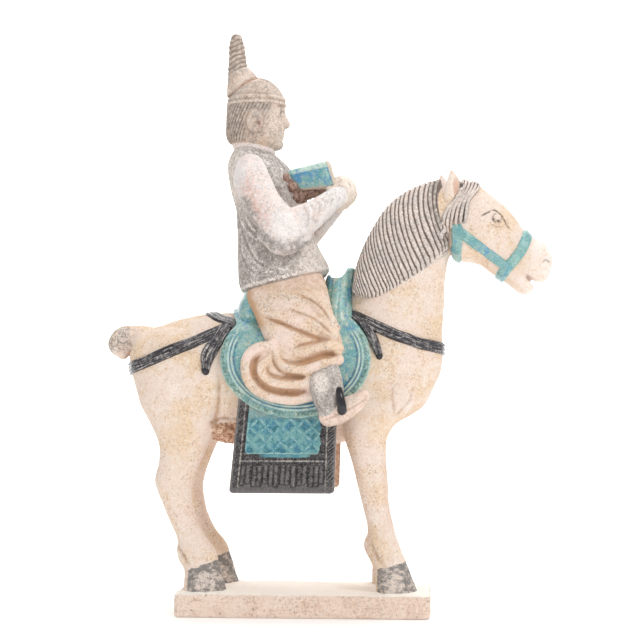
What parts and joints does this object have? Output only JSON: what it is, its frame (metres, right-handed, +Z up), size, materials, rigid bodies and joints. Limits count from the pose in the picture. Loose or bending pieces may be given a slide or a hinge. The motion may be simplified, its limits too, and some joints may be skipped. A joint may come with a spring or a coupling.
{
  "type": "pottery horse and rider figure",
  "caption": "Tomb figure of a rider in a tall hat holding a bundle, on a saddled standing horse on a flat plinth; worn pale paint with turquoise and black glaze.",
  "frame": {"origin": "middle of the plinth's underside", "axes": "+X toward the horse's nose, +Z up; the horse's left side is -Y"},
  "size_m": [0.2897, 0.1114, 0.3802],
  "materials": {
    "plinth_clay": "matt",
    "horse_clay": "matt",
    "rider_clay": "matt",
    "turquoise_glaze": "gloss",
    "black_glaze": "gloss"
  },
  "bodies": {
    "root": {"plinth": "plinth_clay", "horse": "horse_clay", "rider": "rider_clay"}
  },
  "joints": []
}
